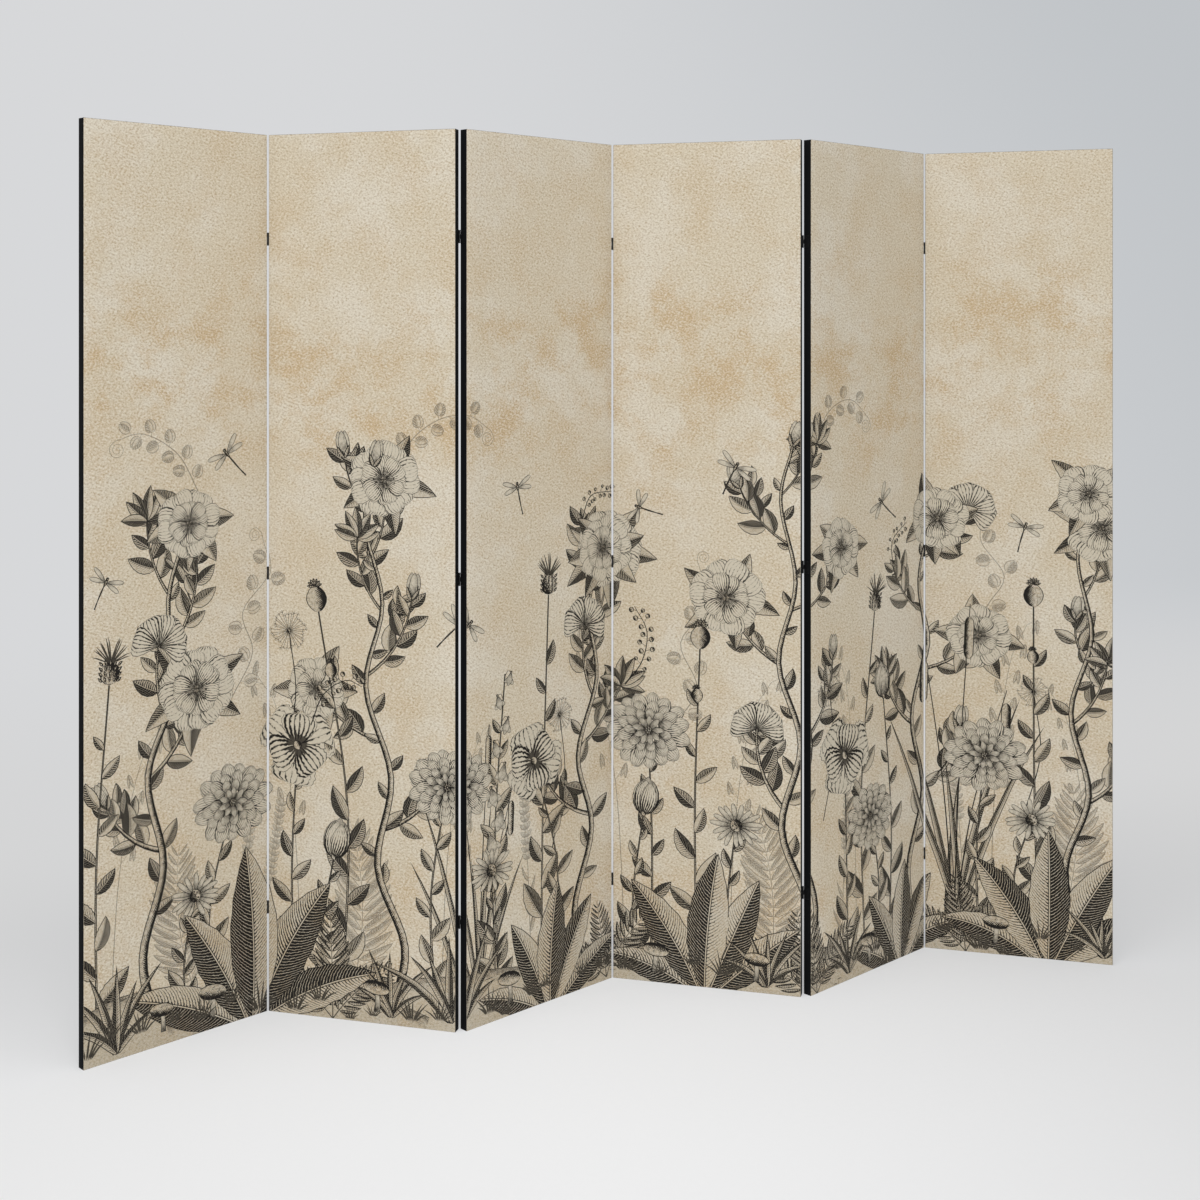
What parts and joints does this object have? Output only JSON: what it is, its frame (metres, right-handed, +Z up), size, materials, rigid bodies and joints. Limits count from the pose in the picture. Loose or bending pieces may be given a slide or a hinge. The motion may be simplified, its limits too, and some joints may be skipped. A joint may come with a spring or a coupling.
{
  "type": "folding screen",
  "caption": "Free-standing folding room divider of tall stretched-canvas panels printed with engraved wild plants, joined edge to edge by small black butt hinges.",
  "frame": {"origin": "middle of the footprint, on the floor", "axes": "+X along the screen, to the right seen from the printed side; +Y from the printed side to the back; +Z up"},
  "size_m": [2.071, 0.208, 1.7],
  "materials": {
    "printed_canvas": "matte woven canvas",
    "black_cloth": "matte non-woven",
    "pine": "planed, unfinished",
    "beech": "turned, unfinished",
    "black_metal": "satin black",
    "staple_steel": "galvanised"
  },
  "bodies": {
    "panel_1": {"panel_1_left_stile": "pine", "panel_1_right_stile": "pine", "panel_1_rails": "pine", "panel_1_dowels": "beech", "panel_1_canvas": "printed_canvas", "panel_1_back_cloth": "black_cloth", "panel_1_staples": "staple_steel", "panel_1_hinge_leaves": "black_metal", "panel_1_hinge_screws": "black_metal", "panel_1_hinge_pins": "black_metal"},
    "panel_2": {"panel_2_left_stile": "pine", "panel_2_right_stile": "pine", "panel_2_rails": "pine", "panel_2_dowels": "beech", "panel_2_canvas": "printed_canvas", "panel_2_back_cloth": "black_cloth", "panel_2_staples": "staple_steel", "panel_2_hinge_leaves": "black_metal", "panel_2_hinge_screws": "black_metal", "panel_2_hinge_pins": "black_metal"},
    "panel_3": {"panel_3_left_stile": "pine", "panel_3_right_stile": "pine", "panel_3_rails": "pine", "panel_3_dowels": "beech", "panel_3_canvas": "printed_canvas", "panel_3_back_cloth": "black_cloth", "panel_3_staples": "staple_steel", "panel_3_hinge_leaves": "black_metal", "panel_3_hinge_screws": "black_metal", "panel_3_hinge_pins": "black_metal"},
    "panel_4": {"panel_4_left_stile": "pine", "panel_4_right_stile": "pine", "panel_4_rails": "pine", "panel_4_dowels": "beech", "panel_4_canvas": "printed_canvas", "panel_4_back_cloth": "black_cloth", "panel_4_staples": "staple_steel", "panel_4_hinge_leaves": "black_metal", "panel_4_hinge_screws": "black_metal", "panel_4_hinge_pins": "black_metal"},
    "panel_5": {"panel_5_left_stile": "pine", "panel_5_right_stile": "pine", "panel_5_rails": "pine", "panel_5_dowels": "beech", "panel_5_canvas": "printed_canvas", "panel_5_back_cloth": "black_cloth", "panel_5_staples": "staple_steel", "panel_5_hinge_leaves": "black_metal", "panel_5_hinge_screws": "black_metal", "panel_5_hinge_pins": "black_metal"},
    "panel_6": {"panel_6_left_stile": "pine", "panel_6_right_stile": "pine", "panel_6_rails": "pine", "panel_6_dowels": "beech", "panel_6_canvas": "printed_canvas", "panel_6_back_cloth": "black_cloth", "panel_6_staples": "staple_steel", "panel_6_hinge_leaves": "black_metal", "panel_6_hinge_screws": "black_metal"}
  },
  "joints": [
    {"name": "fold_1_2", "type": "hinge", "parent": "panel_1", "child": "panel_2", "pos_m": [-0.69144, 0.0886, 0.85], "axis": [0, 0, -1], "range_deg": [-60, 120]},
    {"name": "fold_2_3", "type": "hinge", "parent": "panel_2", "child": "panel_3", "pos_m": [-0.34572, -0.0886, 0.85], "axis": [0, 0, 1], "range_deg": [-60, 120]},
    {"name": "fold_3_4", "type": "hinge", "parent": "panel_3", "child": "panel_4", "pos_m": [0, 0.0886, 0.85], "axis": [0, 0, -1], "range_deg": [-60, 120]},
    {"name": "fold_4_5", "type": "hinge", "parent": "panel_4", "child": "panel_5", "pos_m": [0.34572, -0.0886, 0.85], "axis": [0, 0, 1], "range_deg": [-60, 120]},
    {"name": "fold_5_6", "type": "hinge", "parent": "panel_5", "child": "panel_6", "pos_m": [0.69144, 0.0886, 0.85], "axis": [0, 0, -1], "range_deg": [-60, 120]}
  ]
}
